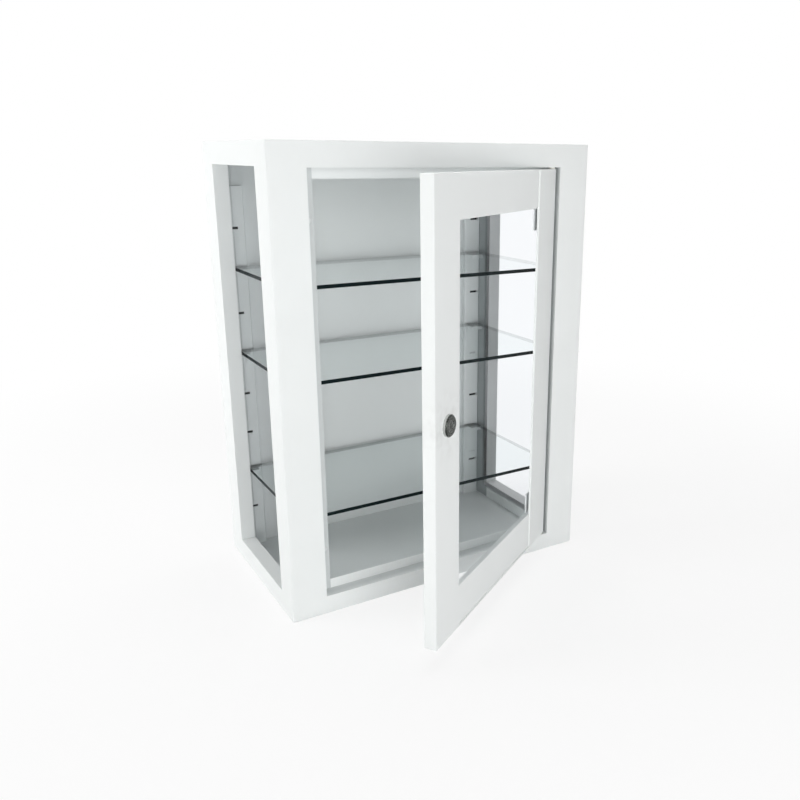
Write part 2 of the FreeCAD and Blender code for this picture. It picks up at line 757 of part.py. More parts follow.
def make_hinges():
    """Pins held by blocks in the hinge stile, turning in flanged bushes in the front rails."""
    pin_bore = "(pin + 2*pin_running_gap)"
    body = f"({pin_bore} + 2*bush_wall)"
    flange = f"({body} + 2*bush_flange_lap)"
    flange_thick = "(end_gap - bush_flange_gap)"
    pin_tall = "pin_in_door + end_gap + pin_in_rail"
    for name, pin_low, bush_low, flange_low, block_low in (
        ("top", f"{DOOR_TOP} - pin_in_door", OPENING_TOP, f"{OPENING_TOP} - {flange_thick}",
         f"{DOOR_TOP} - sheet - block_height"),
        ("bottom", "bottom_rail - pin_in_rail", "bottom_rail - pin_in_rail", "bottom_rail",
         f"{DOOR_BOTTOM} + sheet"),
    ):
        pin = cylinder(f"pin_{name}", "pin", pin_tall)
        piece(hang(pin, z=pin_low), f"hinge_pin_{name}")
        bush = fuse(
            f"bush_{name}_turned",
            cylinder(f"bush_{name}_body", body, "pin_in_rail", HINGE_X, HINGE_Y, bush_low),
            cylinder(f"bush_{name}_flange", flange, flange_thick, HINGE_X, HINGE_Y, flange_low),
        )
        hole = cylinder(
            f"bush_{name}_bore", pin_bore, "pin_in_rail + end_gap + 2*overrun",
            HINGE_X, HINGE_Y, f"{pin_low} - overrun" if name == "bottom" else f"{flange_low} - overrun",
        )
        piece(cut(f"hinge_bush_{name}", bush, hole), f"hinge_bush_{name}")
        block = box(f"block_{name}_solid", "block_width", "door_thick - 2*sheet", "block_height")
        pin_hole = cylinder(
            f"block_{name}_bore", "pin", "block_height + 2*overrun",
            "block_width + sheet - pivot_inset", "pivot_setback - sheet", "-overrun",
        )
        x = "pivot_inset - sheet - block_width"
        piece(hang(cut(f"hinge_block_{name}", block, pin_hole), x, f"{DOOR_FACE} + sheet", block_low),
              f"hinge_block_{name}")


def make_lock():
    """Cam lock on the free stile: fixed barrel and nut, and the plug that turns the cam."""
    face = "-lock_face_proud"
    plug_bore = "(plug/2 + plug_gap)"
    head_bore = "(plug_head/2 + plug_gap)"
    plug_face = f"({face} + plug_recess)"
    head_seat = f"({plug_face} + plug_head_thick)"
    barrel = turned_body("lock_barrel", [
        (head_bore, face), ("lock_face/2 - lock_face_bevel", face),
        ("lock_face/2", f"{face} + lock_face_bevel"), ("lock_face/2", "0"),
        ("lock_body/2", "0"), ("lock_body/2", BARREL_END),
        (plug_bore, BARREL_END), (plug_bore, head_seat), (head_bore, head_seat),
    ])
    piece(hang(barrel, LOCK_X, DOOR_FACE, LOCK_Z), "lock_barrel")
    nut = padded_body("lock_nut", [hexagon("nut_width")], "nut_thick", "XZ_Plane")
    nut.Tip.Reversed = True
    bore(nut, "lock_nut_bore", "lock_body", "nut_thick + 2*overrun", y="-overrun", turn=TO_Y)
    piece(hang(nut, LOCK_X, f"{DOOR_FACE} + door_thick", LOCK_Z), "lock_nut")
    plug = turned_body("lock_plug_turned", [
        ("0", plug_face), ("plug_head/2", plug_face), ("plug_head/2", head_seat), ("plug/2", head_seat),
        ("plug/2", PLUG_END), ("cam_screw/2", PLUG_END), ("cam_screw/2", f"{PLUG_END} - cam_screw_depth"),
        ("0", f"{PLUG_END} - cam_screw_depth"),
    ])
    notch(
        plug, "key_slot", "key_slot_width", "key_slot_depth + overrun", "key_slot_height",
        "-key_slot_width/2", f"{plug_face} - overrun", "-key_slot_height/2",
    )
    piece(hang(plug, LOCK_X, DOOR_FACE, LOCK_Z), "lock_plug")
    hub = cylinder("cam_hub", "cam_width", "cam_thick", turn=TO_Y)
    arm = box("cam_arm", "cam_width", "cam_thick", "cam_reach", "-cam_width/2", "0", "-cam_reach")
    hole = cylinder(
        "cam_hole", "cam_screw + 2*cam_screw_gap", "cam_thick + 2*overrun", y="-overrun", turn=TO_Y,
    )
    cam = cut("lock_cam", fuse("cam_plate", hub, arm), hole)
    piece(hang(cam, LOCK_X, f"{DOOR_FACE} + {PLUG_END}", LOCK_Z), "lock_cam")
    screw = fuse(
        "screw_turned",
        cylinder(
            "screw_shank", "cam_screw", "cam_screw_depth + cam_thick",
            y="-cam_screw_depth - cam_thick", turn=TO_Y,
        ),
        cylinder("screw_head", "cam_screw_head", "cam_screw_head_thick", turn=TO_Y),
    )
    piece(hang(screw, LOCK_X, f"{DOOR_FACE} + {PLUG_END} + cam_thick", LOCK_Z), "cam_screw")


def hexagon(across_flats):
    """Corners of a hexagon about the origin, with two flats upright."""
    return [
        (f"{across_flats}/sqrt(3)*cos({60 * i + 30})", f"{across_flats}/sqrt(3)*sin({60 * i + 30})")
        for i in range(6)
    ]


def export_pieces():
    """Stop on any failed object or bad shape, then write one file for each sub-part."""
    doc.recompute()
    failed = [obj.Name for obj in doc.Objects if {"Invalid", "Error"} & set(obj.State)]
    bad = [obj.Label for obj in pieces if obj.Shape.isNull() or not obj.Shape.isValid()]
    empty = [obj.Label for obj in pieces if not obj.Shape.Solids]
    if failed or bad or empty:
        raise RuntimeError(f"failed objects {failed}, bad shapes {bad}, no solid in {empty}")
    os.makedirs("parts", exist_ok=True)
    for obj in pieces:
        obj.Shape.exportStep(f"parts/{obj.Label}.step")
    whole = FreeCAD.BoundBox()
    for obj in pieces:
        whole.add(obj.Shape.optimalBoundingBox())
    sides = " x ".join(f"{side:.1f}" for side in (whole.XLength, whole.YLength, whole.ZLength))
    print(f"{len(pieces)} sub-parts, overall {sides} mm")


make_front_frame()
make_side_frames()
make_panels()
make_door_stop()
make_side_panes()
make_uprights()
make_shelves()
make_door_stiles()
make_door_rails()
make_door_edges()
make_door_glass()
make_hinges()
make_lock()
export_pieces()
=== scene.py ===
"""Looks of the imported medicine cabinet: finishes, small fittings, stage, lamps and camera.

Everything is in metres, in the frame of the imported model. The door stands open at its rest angle.
"""
import json
import math

import bmesh
import bpy
from bpy.props import FloatProperty, FloatVectorProperty, PointerProperty
from mathutils import Matrix, Vector


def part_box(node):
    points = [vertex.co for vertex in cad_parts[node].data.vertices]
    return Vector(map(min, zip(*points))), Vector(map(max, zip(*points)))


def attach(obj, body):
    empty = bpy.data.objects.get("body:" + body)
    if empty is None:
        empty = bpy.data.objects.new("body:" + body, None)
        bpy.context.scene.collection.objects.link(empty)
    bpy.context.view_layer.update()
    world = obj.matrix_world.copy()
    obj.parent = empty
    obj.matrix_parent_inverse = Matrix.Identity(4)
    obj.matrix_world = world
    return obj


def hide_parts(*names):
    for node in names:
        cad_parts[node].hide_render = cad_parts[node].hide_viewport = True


bl_info = {
    "name": "Medicine Cabinet Looks",
    "version": (1, 0, 0),
    "blender": (4, 5, 0),
    "location": "View3D > Sidebar > Cabinet",
    "description": "Finishes, small fittings, stage and camera for the packed medicine cabinet",
    "category": "Object",
}

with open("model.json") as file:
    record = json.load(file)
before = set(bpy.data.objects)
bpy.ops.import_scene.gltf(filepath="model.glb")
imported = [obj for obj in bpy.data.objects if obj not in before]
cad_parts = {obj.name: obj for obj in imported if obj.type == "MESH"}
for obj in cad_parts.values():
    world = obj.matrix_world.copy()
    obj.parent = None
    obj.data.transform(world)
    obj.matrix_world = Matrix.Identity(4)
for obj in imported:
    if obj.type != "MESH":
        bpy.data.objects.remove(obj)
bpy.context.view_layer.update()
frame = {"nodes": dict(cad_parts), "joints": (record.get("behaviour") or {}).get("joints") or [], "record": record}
SLOTS = {part["node"]: part["material_slot"] for part in frame["record"]["subparts"]}
JOINTS = {joint["name"]: joint for joint in frame["joints"]}

# The door's own axes at rest: along it to the hinge, through it to the inside, and up
THROUGH_DOOR = Vector(JOINTS["lock_turn"]["axis"])
ALONG_DOOR = Vector((THROUGH_DOOR.y, -THROUGH_DOOR.x, 0.0))
ACROSS = Vector((1.0, 0.0, 0.0))
UP = Vector((0.0, 0.0, 1.0))
LOCK = Vector(JOINTS["lock_turn"]["pos_m"])
DOOR = Matrix.Translation(LOCK) @ Matrix((ALONG_DOOR, THROUGH_DOOR, UP)).transposed().to_4x4()

# Lengths that count as nothing, and how far the glass is drawn in from what holds it
TINY = 1e-6
GLASS_GAP = 5e-5

# Faces that look this squarely along a pane count as its flat, and the rest as its ground edge
FLAT_FACING = 0.9
# Faces of the lock that look this little along its axis count as its rim, where a highlight is painted
SIDE_FACING = 0.4
# How strongly the edges of the glass show from outside and from inside it
PANE_EDGE_SHARES = (0.5, 0.12)
SHELF_EDGE_SHARES = (1.0, 0.25)
# Refractive indices that give the panes and the shelves their gloss
PANE_INDEX = 1.06
SHELF_INDEX = 1.35

# Gloss of the powder coat, and how far its roughness varies
COAT_GLOSS = 0.4
COAT_UNEVEN = 0.1
# How far from the lock hands dull the coat, from all of it to none, and how strongly
HAND_REACH = (0.014, 0.055)
HAND_SHARE = 0.35
# How much rougher it is where hands rub it, where shade is painted into the recesses, and where near-black shade
# is painted behind the uprights
HAND_ROUGHER = 0.12
PAINTED_SHADE_ROUGHER = 0.2
CHANNEL_SHADE_ROUGHER = 0.3
# Share of painted shade on the inside of the back and on the floor
INSIDE_PAINTED_SHADE = 0.16
# Painted shade in recesses, corners and gaps, where shade falls: nodes, how far in from their front the painted
# shade grows, its share at the full, and whether it stays on the faces that look to the middle
PAINTED_SHADE_RECESSES = (
    (("rear_post_left", "rear_post_right"), TINY, 1.0, True),
    (("front_post_left", "front_post_right"), 0.009, 0.8, True),
    (("door_stop_left",), TINY, 0.6, False),
    (("door_stop_top",), TINY, 0.2, False),
    (("front_rail_bottom",), 0.012, 0.35, False),
    (("floor_panel",), TINY, INSIDE_PAINTED_SHADE, False),
)

# Pitch of the turning marks on the lock's barrel and plug
BARREL_PITCH = 0.0006
PLUG_PITCH = 0.0004
# Thickness of the screws' heads and radius of their shanks, as shares of the head's radius
CAM_HEAD = 0.625
CAM_SHANK = 0.5
CLIP_HEAD = 0.58
CLIP_SHANK = 0.545
# Outlines as shares of radius and thickness, from the rim to the crown
SCREW_CROWN = ((1.0, 0.0), (1.0, 0.45), (0.93, 0.72), (0.75, 0.9), (0.45, 0.98), (0.0, 1.0))
BUFFER_DOME = ((1.0, 0.0), (1.0, 0.25), (0.93, 0.55), (0.75, 0.8), (0.45, 0.95), (0.0, 1.0))
LATHE_STEPS = 40

# Lamps: name, place, size, the property with their power, and whether mirrors show them
LAMPS = (
    ("side_lamp", (-2.15, 0.8, 0.9), 1.2, "side_power", False),
    ("front_lamp", (-0.45, -2.6, 0.7), 1.6, "front_power", True),
    ("right_lamp", (1.3, -2.3, 0.9), 1.6, "right_power", True),
    ("top_lamp", (0.0, 0.3, 2.6), 2.2, "top_power", True),
    ("low_lamp", (-0.7, -1.7, 0.1), 0.8, "low_power", True),
    ("fill_lamp", (2.1, 0.9, 0.9), 1.2, "fill_power", False),
)
LAMP_TARGET = Vector((0.0, 0.0, 0.3))
WHITE = (1.0, 1.0, 1.0, 1.0)
# Half the floor's width, and its gap under the cabinet
FLOOR_HALF = 12.0
FLOOR_GAP = 0.0002
# How white the floor shines near the cabinet, and the distances between which it turns wholly white
FLOOR_NEAR_WHITE = 0.8
FLOOR_WHITE_REACH = (0.5, 1.4)


class Signal:
    """An output socket that joins in Python sums: each sum adds a Math node."""

    def __init__(self, finish, socket):
        self.finish = finish
        self.socket = socket

    def maths(self, operation, first, second=0.0):
        return self.finish.node("ShaderNodeMath", {"operation": operation}, {0: first, 1: second})

    def __add__(self, other):
        return self.maths("ADD", self, other)

    def __radd__(self, other):
        return self.maths("ADD", other, self)

    def __rsub__(self, other):
        return self.maths("SUBTRACT", other, self)

    def __mul__(self, other):
        return self.maths("MULTIPLY", self, other)

    def __rmul__(self, other):
        return self.maths("MULTIPLY", other, self)

    def __lt__(self, other):
        return self.maths("LESS_THAN", self, other)

    def __gt__(self, other):
        return self.maths("GREATER_THAN", self, other)

    def __abs__(self):
        return self.maths("ABSOLUTE", self)


class Finish:
    """The node tree of a material or world, filled through one method."""

    def __init__(self, owner):
        owner.use_nodes = True
        self.owner = owner
        self.tree = owner.node_tree
        self.tree.nodes.clear()

    def node(self, kind, settings=None, sockets=None, out=0):
        """Add a node: its settings first, then its sockets' values or links. Give back one output."""
        node = self.tree.nodes.new(kind)
        for name, value in (settings or {}).items():
            setattr(node, name, value)
        for name, value in (sockets or {}).items():
            if isinstance(value, Signal):
                self.tree.links.new(value.socket, node.inputs[name])
            else:
                node.inputs[name].default_value = value
        return Signal(self, node.outputs[out] if len(node.outputs) else None)

    def place(self):
        """Coordinates in metres, fixed to the piece."""
        return self.node("ShaderNodeTexCoord", out="Object")

    def along(self, place, axis):
        """One coordinate of a place."""
        return self.node("ShaderNodeSeparateXYZ", {}, {0: place}, out=axis)

    def noise(self, place, scale, detail=2.0):
        return self.node("ShaderNodeTexNoise", {}, {"Vector": place, "Scale": scale, "Detail": detail})

    def vector_maths(self, operation, first, second):
        """A number from two vectors."""
        return self.node("ShaderNodeVectorMath", {"operation": operation}, {0: first, 1: second}, out="Value")

    def reach(self, place, centre):
        """Distance from a point."""
        return self.vector_maths("DISTANCE", place, centre)

    def ramp(self, value, low, high):
        """Zero below low, one above high, and smooth between them."""
        return self.node(
            "ShaderNodeMapRange", {"interpolation_type": "SMOOTHSTEP"},
            {"Value": value, "From Min": low, "From Max": high},
        )

    def blend(self, factor, first, second):
        """Mix two colours."""
        return self.node("ShaderNodeMix", {"data_type": "RGBA"}, {0: factor, 6: first, 7: second}, out=2)

    def facing(self, axis):
        """How squarely a face looks along an axis, either way."""
        return abs(self.vector_maths("DOT_PRODUCT", self.node("ShaderNodeTexCoord", out="Normal"), axis))

    def bump(self, height, strength, distance):
        return self.node("ShaderNodeBump", {}, {"Height": height, "Strength": strength, "Distance": distance})

    def shader(self, sockets):
        return self.node("ShaderNodeBsdfPrincipled", {}, sockets)

    def mix_shaders(self, factor, first, second):
        return self.node("ShaderNodeMixShader", {}, {0: factor, 1: first, 2: second})

    def seen(self):
        """One where the camera sees the surface, straight on, mirrored or through glass."""
        views = ("Is Camera Ray", "Is Glossy Ray", "Is Transmission Ray")
        rays = [self.node("ShaderNodeLightPath", out=view) for view in views]
        return rays[0].maths("MAXIMUM", rays[0].maths("MAXIMUM", rays[0], rays[1]), rays[2])

    def close(self, shader, kind="ShaderNodeOutputMaterial"):
        self.node(kind, {}, {"Surface": shader})
        return self.owner


def new_finish(name):
    return Finish(bpy.data.materials.new(name))


def solid(colour, gain=1.0):
    """A colour property as the four numbers that a socket takes."""
    return (*(gain * part for part in colour), 1.0)


class CabinetFinishes(bpy.types.PropertyGroup):
    """Colours and gloss of the cabinet's finishes."""

    coat_colour: FloatVectorProperty(
        name="Coat", description="Powder coat on the steel", subtype="COLOR",
        default=(0.862, 0.885, 0.879), min=0.0, max=1.0,
    )
    coat_shade: FloatVectorProperty(
        name="Coat shade", description="Darker end of the powder coat's cloudiness", subtype="COLOR",
        default=(0.838, 0.86, 0.854), min=0.0, max=1.0,
    )
    grime_colour: FloatVectorProperty(
        name="Grime", description="What hands leave on the coat round the lock", subtype="COLOR",
        default=(0.60, 0.60, 0.59), min=0.0, max=1.0,
    )
    # Painted shade: the grey that recesses, corners, gaps and the inside of the cabinet are darkened towards,
    # standing in for the shade that falls there, not for dull coat
    painted_shade_colour: FloatVectorProperty(
        name="Recess", description="Coat gone dull where a cloth doesn't reach", subtype="COLOR",
        default=(0.40, 0.43, 0.435), min=0.0, max=1.0,
    )
    coat_roughness: FloatProperty(
        name="Coat roughness", description="Roughness of the powder coat", subtype="FACTOR",
        default=0.40, min=0.0, max=1.0,
    )
    pane_tint: FloatVectorProperty(
        name="Pane tint", description="Tint of the side panes and the door pane", subtype="COLOR",
        default=(0.985, 0.99, 0.995), min=0.0, max=1.0,
    )
    shelf_tint: FloatVectorProperty(
        name="Shelf tint", description="Tint seen through the flat of a shelf", subtype="COLOR",
        default=(0.968, 0.986, 0.986), min=0.0, max=1.0,
    )
    pane_edge: FloatVectorProperty(
        name="Pane edge", description="Grey green of the cut edges of the panes", subtype="COLOR",
        default=(0.08, 0.10, 0.105), min=0.0, max=1.0,
    )
    glass_edge: FloatVectorProperty(
        name="Shelf edge", description="Deep green of the ground edges of the shelves", subtype="COLOR",
        default=(0.003, 0.008, 0.0085), min=0.0, max=1.0,
    )
    barrel_colour: FloatVectorProperty(
        name="Lock barrel", description="Dark plating of the lock's face", subtype="COLOR",
        default=(0.05, 0.055, 0.05), min=0.0, max=1.0,
    )
    # Painted highlight: the bright rim stands in for light catching the side of the lock, not for a second plating
    rim_highlight_colour: FloatVectorProperty(
        name="Lock rim", description="Bright plating round the side of the lock", subtype="COLOR",
        default=(0.55, 0.56, 0.55), min=0.0, max=1.0,
    )
    plug_colour: FloatVectorProperty(
        name="Lock plug", description="Rubbed plating of the key plug", subtype="COLOR",
        default=(0.085, 0.09, 0.085), min=0.0, max=1.0,
    )
    zinc_colour: FloatVectorProperty(
        name="Zinc", description="Zinc plating of the nut, cam and screws", subtype="COLOR",
        default=(0.60, 0.60, 0.58), min=0.0, max=1.0,
    )
    steel_colour: FloatVectorProperty(
        name="Steel", description="Drawn steel of the pivot pins and blocks", subtype="COLOR",
        default=(0.52, 0.53, 0.55), min=0.0, max=1.0,
    )
    nylon_colour: FloatVectorProperty(
        name="Nylon", description="Natural nylon of the pivot bushes", subtype="COLOR",
        default=(0.80, 0.79, 0.74), min=0.0, max=1.0,
    )
    tape_colour: FloatVectorProperty(
        name="Tape", description="Foam tape behind the side panes", subtype="COLOR",
        default=(0.74, 0.75, 0.75), min=0.0, max=1.0,
    )
    # Painted shade: near-black standing in for the shade inside the uprights, seen through their slots, not for
    # bare steel
    channel_shade_colour: FloatVectorProperty(
        name="Bare steel", description="Dull steel inside the uprights, where the coat doesn't reach",
        subtype="COLOR", default=(0.03, 0.031, 0.033), min=0.0, max=1.0,
    )
    buffer_colour: FloatVectorProperty(
        name="Buffers", description="Pale rubber of the door buffers", subtype="COLOR",
        default=(0.66, 0.68, 0.68), min=0.0, max=1.0,
    )


class CabinetFittings(bpy.types.PropertyGroup):
    """Sizes of the fine detail on the small fittings."""

    recess_width: FloatProperty(
        name="Recess width", description="Width of one bar of a screw's cross, as a share of the head",
        subtype="FACTOR", default=0.2, min=0.05, max=0.5,
    )
    recess_length: FloatProperty(
        name="Recess length", description="Length of one bar of a screw's cross, as a share of the head",
        subtype="FACTOR", default=0.62, min=0.2, max=0.9,
    )
    recess_depth: FloatProperty(
        name="Recess depth", description="Depth of a screw's cross, as a share of the head's thickness",
        subtype="FACTOR", default=0.65, min=0.1, max=0.95,
    )
    edge_break: FloatProperty(
        name="Edge break", description="Rounding of the small pressed pieces' edges", unit="LENGTH",
        default=0.0003, min=0.0, max=0.001, precision=5,
    )
    shutter_size: FloatVectorProperty(
        name="Shutter", description="Width, thickness and height of the dust shutter", unit="LENGTH", size=3,
        default=(0.0015, 0.0004, 0.0074), min=0.0, max=0.01, precision=5,
    )
    shutter_depth: FloatProperty(
        name="Shutter depth", description="How far the dust shutter lies inside the keyway", unit="LENGTH",
        default=0.0008, min=0.0, max=0.002, precision=5,
    )


class CabinetStage(bpy.types.PropertyGroup):
    """Camera, lamps, floor and world."""

    camera_place: FloatVectorProperty(
        name="Camera", description="Where the camera stands", subtype="TRANSLATION", unit="LENGTH",
        default=(-0.5334, -1.0392, 0.5850),
    )
    camera_yaw: FloatProperty(
        name="Yaw", description="Turn of the camera to the right of straight ahead", subtype="ANGLE",
        default=math.radians(32.281),
    )
    camera_pitch: FloatProperty(
        name="Pitch", description="How far the camera looks down", subtype="ANGLE",
        default=math.radians(16.587),
    )
    camera_roll: FloatProperty(
        name="Roll", description="Lean of the camera", subtype="ANGLE", default=math.radians(0.471),
    )
    lens: FloatProperty(
        name="Lens", description="Focal length in millimetres on a 36 mm sensor", default=36.709, min=1.0,
    )
    shift: FloatVectorProperty(
        name="Shift", description="Sideways and upward shift of the picture", size=2,
        default=(-0.08938, -0.00235),
    )
    side_power: FloatProperty(
        name="Side lamp", description="Power of the soft lamp at the left, set a little behind", unit="POWER",
        default=33.0, min=0.0,
    )
    front_power: FloatProperty(
        name="Front lamp", description="Power of the soft lamp in front", unit="POWER", default=34.0, min=0.0,
    )
    right_power: FloatProperty(
        name="Right lamp", description="Power of the soft lamp in front at the right", unit="POWER",
        default=2.5, min=0.0,
    )
    top_power: FloatProperty(
        name="Top lamp", description="Power of the wide lamp overhead", unit="POWER", default=42.0, min=0.0,
    )
    low_power: FloatProperty(
        name="Low lamp", description="Power of the soft lamp near the floor in front", unit="POWER",
        default=4.5, min=0.0,
    )
    fill_power: FloatProperty(
        name="Fill lamp", description="Power of the weak lamp at the right, set a little behind", unit="POWER",
        default=11.0, min=0.0,
    )
    world_strength: FloatProperty(
        name="World", description="Strength of the even light all round", default=0.02, min=0.0,
    )
    floor_colour: FloatVectorProperty(
        name="Floor", description="Pale floor under the cabinet", subtype="COLOR",
        default=(0.90, 0.90, 0.90), min=0.0, max=1.0,
    )


def coat_tone(coat, place, look):
    """Faintly cloudy white, and the satin roughness that varies with it."""
    cloud = coat.noise(place, scale=6.0, detail=3.0)
    tone = coat.blend(coat.ramp(cloud, low=0.3, high=0.7), solid(look.coat_shade), solid(look.coat_colour))
    return tone, look.coat_roughness - 0.5 * COAT_UNEVEN + COAT_UNEVEN * cloud


def orange_peel(coat, place):
    """The fine pitting that powder coat dries with."""
    peel = coat.noise(place, scale=480.0, detail=1.0)
    grain = coat.noise(place, scale=1900.0, detail=1.0)
    return coat.bump(peel + 0.2 * grain, strength=0.12, distance=0.0002)


def close_coat(coat, place, colour, roughness):
    """End a coat with the gloss and the pitting that all coats share."""
    return coat.close(coat.shader({
        "Base Color": colour,
        "Roughness": roughness,
        "Normal": orange_peel(coat, place),
        "Specular IOR Level": COAT_GLOSS,
    }))


def powder_coat(look):
    """White satin coat on the steel."""
    coat = new_finish("powder_coat")
    place = coat.place()
    tone, satin = coat_tone(coat, place, look)
    return close_coat(coat, place, tone, satin)


def handled_coat(look):
    """The same coat on the lock stile, dulled by hands in a ring about the key."""
    coat = new_finish("powder_coat_handled")
    place = coat.place()
    tone, satin = coat_tone(coat, place, look)
    smear = coat.ramp(coat.noise(place, scale=90.0, detail=4.0), low=0.35, high=0.75)
    rubbed = (1.0 - coat.ramp(coat.reach(place, LOCK), *HAND_REACH)) * smear
    colour = coat.blend(HAND_SHARE * rubbed, tone, solid(look.grime_colour))
    return close_coat(coat, place, colour, satin + HAND_ROUGHER * rubbed)


def back_coat(look):
    """The coat on the back panel, with shade painted on its inside and near-black shade painted there where the
    uprights cover it.
    """
    coat = new_finish("powder_coat_back")
    place = coat.place()
    tone, satin = coat_tone(coat, place, look)
    low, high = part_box("upright_right")
    front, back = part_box("back_panel")
    across = abs(coat.along(place, "X"))
    inside = coat.along(place, "Y") < 0.5 * (front.y + back.y)
    # Painted shade: near-black behind the uprights, where shade falls inside their channels
    channel_shade = inside * (across > low.x) * (across < high.x) * (coat.along(place, "Z") < high.z)
    # Painted shade on the inside of the back
    inside_shaded = coat.blend(INSIDE_PAINTED_SHADE * inside, tone, solid(look.painted_shade_colour))
    colour = coat.blend(channel_shade, inside_shaded, solid(look.channel_shade_colour))
    return close_coat(coat, place, colour, satin + CHANNEL_SHADE_ROUGHER * channel_shade)


def painted_shade_coat(look, node, fade, share, inner):
    """The coat on a node with shade painted in, darker from its front edge inwards."""
    coat = new_finish(f"{node}_coat")
    place = coat.place()
    tone, satin = coat_tone(coat, place, look)
    low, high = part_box(node)
    sides = (abs(low.x), abs(high.x))
    limit = (min(sides) if inner else max(sides)) + TINY
    front = low.y - TINY
    deep = coat.ramp(coat.along(place, "Y"), front, front + fade)
    # Painted shade: darker the deeper into the recess, on the faces that the mask picks
    painted_shade = share * (abs(coat.along(place, "X")) < limit) * deep
    colour = coat.blend(painted_shade, tone, solid(look.painted_shade_colour))
    return close_coat(coat, place, colour, satin + PAINTED_SHADE_ROUGHER * painted_shade)


def sheer_glass(name, across, tint, edge_colour, edge_shares, index):
    """Clear float glass that light goes straight through, with a green edge.

    The edge shares say how strongly the edge shows from outside and from inside the glass.
    """
    glass = new_finish(name)
    place = glass.place()
    smear = glass.noise(place, scale=14.0, detail=5.0)
    through = glass.node("ShaderNodeBsdfTransparent", {}, {"Color": solid(tint)})
    mirror = glass.node(
        "ShaderNodeBsdfGlossy", {},
        {"Color": WHITE, "Roughness": 0.02 + 0.05 * glass.ramp(smear, low=0.5, high=0.8)},
    )
    inside = glass.node("ShaderNodeNewGeometry", out="Backfacing")
    gloss = glass.node("ShaderNodeFresnel", {}, {"IOR": index}) * (1.0 - inside)
    grind = glass.noise(place, scale=1400.0)
    ground = glass.shader({
        "Base Color": glass.blend(grind, solid(edge_colour), solid(edge_colour, 1.6)),
        "Roughness": 0.35 + 0.2 * grind,
        "Specular IOR Level": 0.05,
    })
    outer, inner = edge_shares
    edge = (glass.facing(across) < FLAT_FACING) * (outer - (outer - inner) * inside)
    return glass.close(glass.mix_shaders(edge, glass.mix_shaders(gloss, through, mirror), ground))


def lock_plating(name, colour, rim_highlight_colour, ring_pitch):
    """Dark plating with turning marks and worn patches, and a painted highlight on the rim."""
    metal = new_finish(name)
    place = metal.place()
    marks = metal.node(
        "ShaderNodeMath", {"operation": "SINE"}, {0: metal.reach(place, LOCK) * (2 * math.pi / ring_pitch)},
    )
    patch = metal.ramp(metal.noise(place, scale=520.0, detail=3.0), low=0.4, high=0.65)
    face = metal.blend(patch, solid(colour, 0.6), solid(colour, 1.8))
    # Painted highlight: the side faces are given a brighter colour, as if lit
    rim = metal.facing(THROUGH_DOOR) < SIDE_FACING
    return metal.close(metal.shader({
        "Base Color": metal.blend(rim, face, solid(rim_highlight_colour)),
        "Metallic": 1.0,
        "Roughness": 0.24 + 0.16 * patch,
        "Normal": metal.bump(marks, strength=0.15, distance=0.00003),
    }))


def brushed(name, colour, scale):
    """Bright steel or zinc with a fine crystal mottle."""
    metal = new_finish(name)
    place = metal.place()
    mottle = metal.noise(place, scale=scale, detail=4.0)
    return metal.close(metal.shader({
        "Base Color": metal.blend(mottle, solid(colour, 0.82), solid(colour, 1.12)),
        "Metallic": 1.0,
        "Roughness": 0.28 + 0.18 * mottle,
        "Normal": metal.bump(mottle, strength=0.1, distance=0.0001),
    }))


def moulded(name, colour, roughness, scale):
    """Moulded nylon, rubber or foam with a fine skin."""
    skin = new_finish(name)
    place = skin.place()
    pores = skin.noise(place, scale=scale, detail=3.0)
    return skin.close(skin.shader({
        "Base Color": skin.blend(pores, solid(colour, 0.92), solid(colour, 1.06)),
        "Roughness": roughness + 0.1 * pores,
        "Normal": skin.bump(pores, strength=0.2, distance=0.0001),
    }))


def dress(names, finish):
    """Give CAD nodes a finish."""
    for name in names:
        frame["nodes"][name].material_slots[0].material = finish


def slot_nodes(slot):
    names = [name for name, own in SLOTS.items() if own == slot]
    if not names:
        raise RuntimeError(f"no node has the slot {slot}")
    return names


def weld_corners(node):
    """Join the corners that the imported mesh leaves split."""
    weld = node.modifiers.new("weld", "WELD")
    weld.merge_threshold = TINY * 10


def ease_glass(names):
    """Draw glass in by a hair, so that its faces don't lie in the faces of what holds it."""
    for name in names:
        node = frame["nodes"][name]
        weld_corners(node)
        hair = node.modifiers.new("hair_gap", "DISPLACE")
        hair.mid_level = 0.0
        hair.strength = -GLASS_GAP
        split = node.modifiers.new("split", "EDGE_SPLIT")
        split.split_angle = math.radians(30)


def break_edges(names, width):
    """Round the sharp edges of small pressed pieces."""
    for name in names:
        node = frame["nodes"][name]
        weld_corners(node)
        flat = node.modifiers.new("flat", "DECIMATE")
        flat.decimate_type = "DISSOLVE"
        flat.angle_limit = math.radians(1)
        edge = node.modifiers.new("edge", "BEVEL")
        edge.width = width
        edge.segments = 2
        edge.limit_method = "ANGLE"
        edge.angle_limit = math.radians(40)
        node.modifiers.new("normals", "WEIGHTED_NORMAL")


def solids_of(name, frame_of):
    """Lowest and highest corner of each separate solid of a CAD node, in a local frame."""
    mesh = bmesh.new()
    mesh.from_mesh(frame["nodes"][name].data)
    bmesh.ops.transform(mesh, matrix=frame_of.inverted(), verts=mesh.verts)
    bmesh.ops.remove_doubles(mesh, verts=mesh.verts, dist=TINY)
    left = set(mesh.verts)
    boxes = []
    while left:
        found = [left.pop()]
        for vert in found:
            near = {edge.other_vert(vert) for edge in vert.link_edges} & left
            left -= near
            found.extend(near)
        spots = [vert.co.copy() for vert in found]
        low = Vector(min(spot[i] for spot in spots) for i in range(3))
        high = Vector(max(spot[i] for spot in spots) for i in range(3))
        boxes.append((low, high))
    mesh.free()
    return boxes


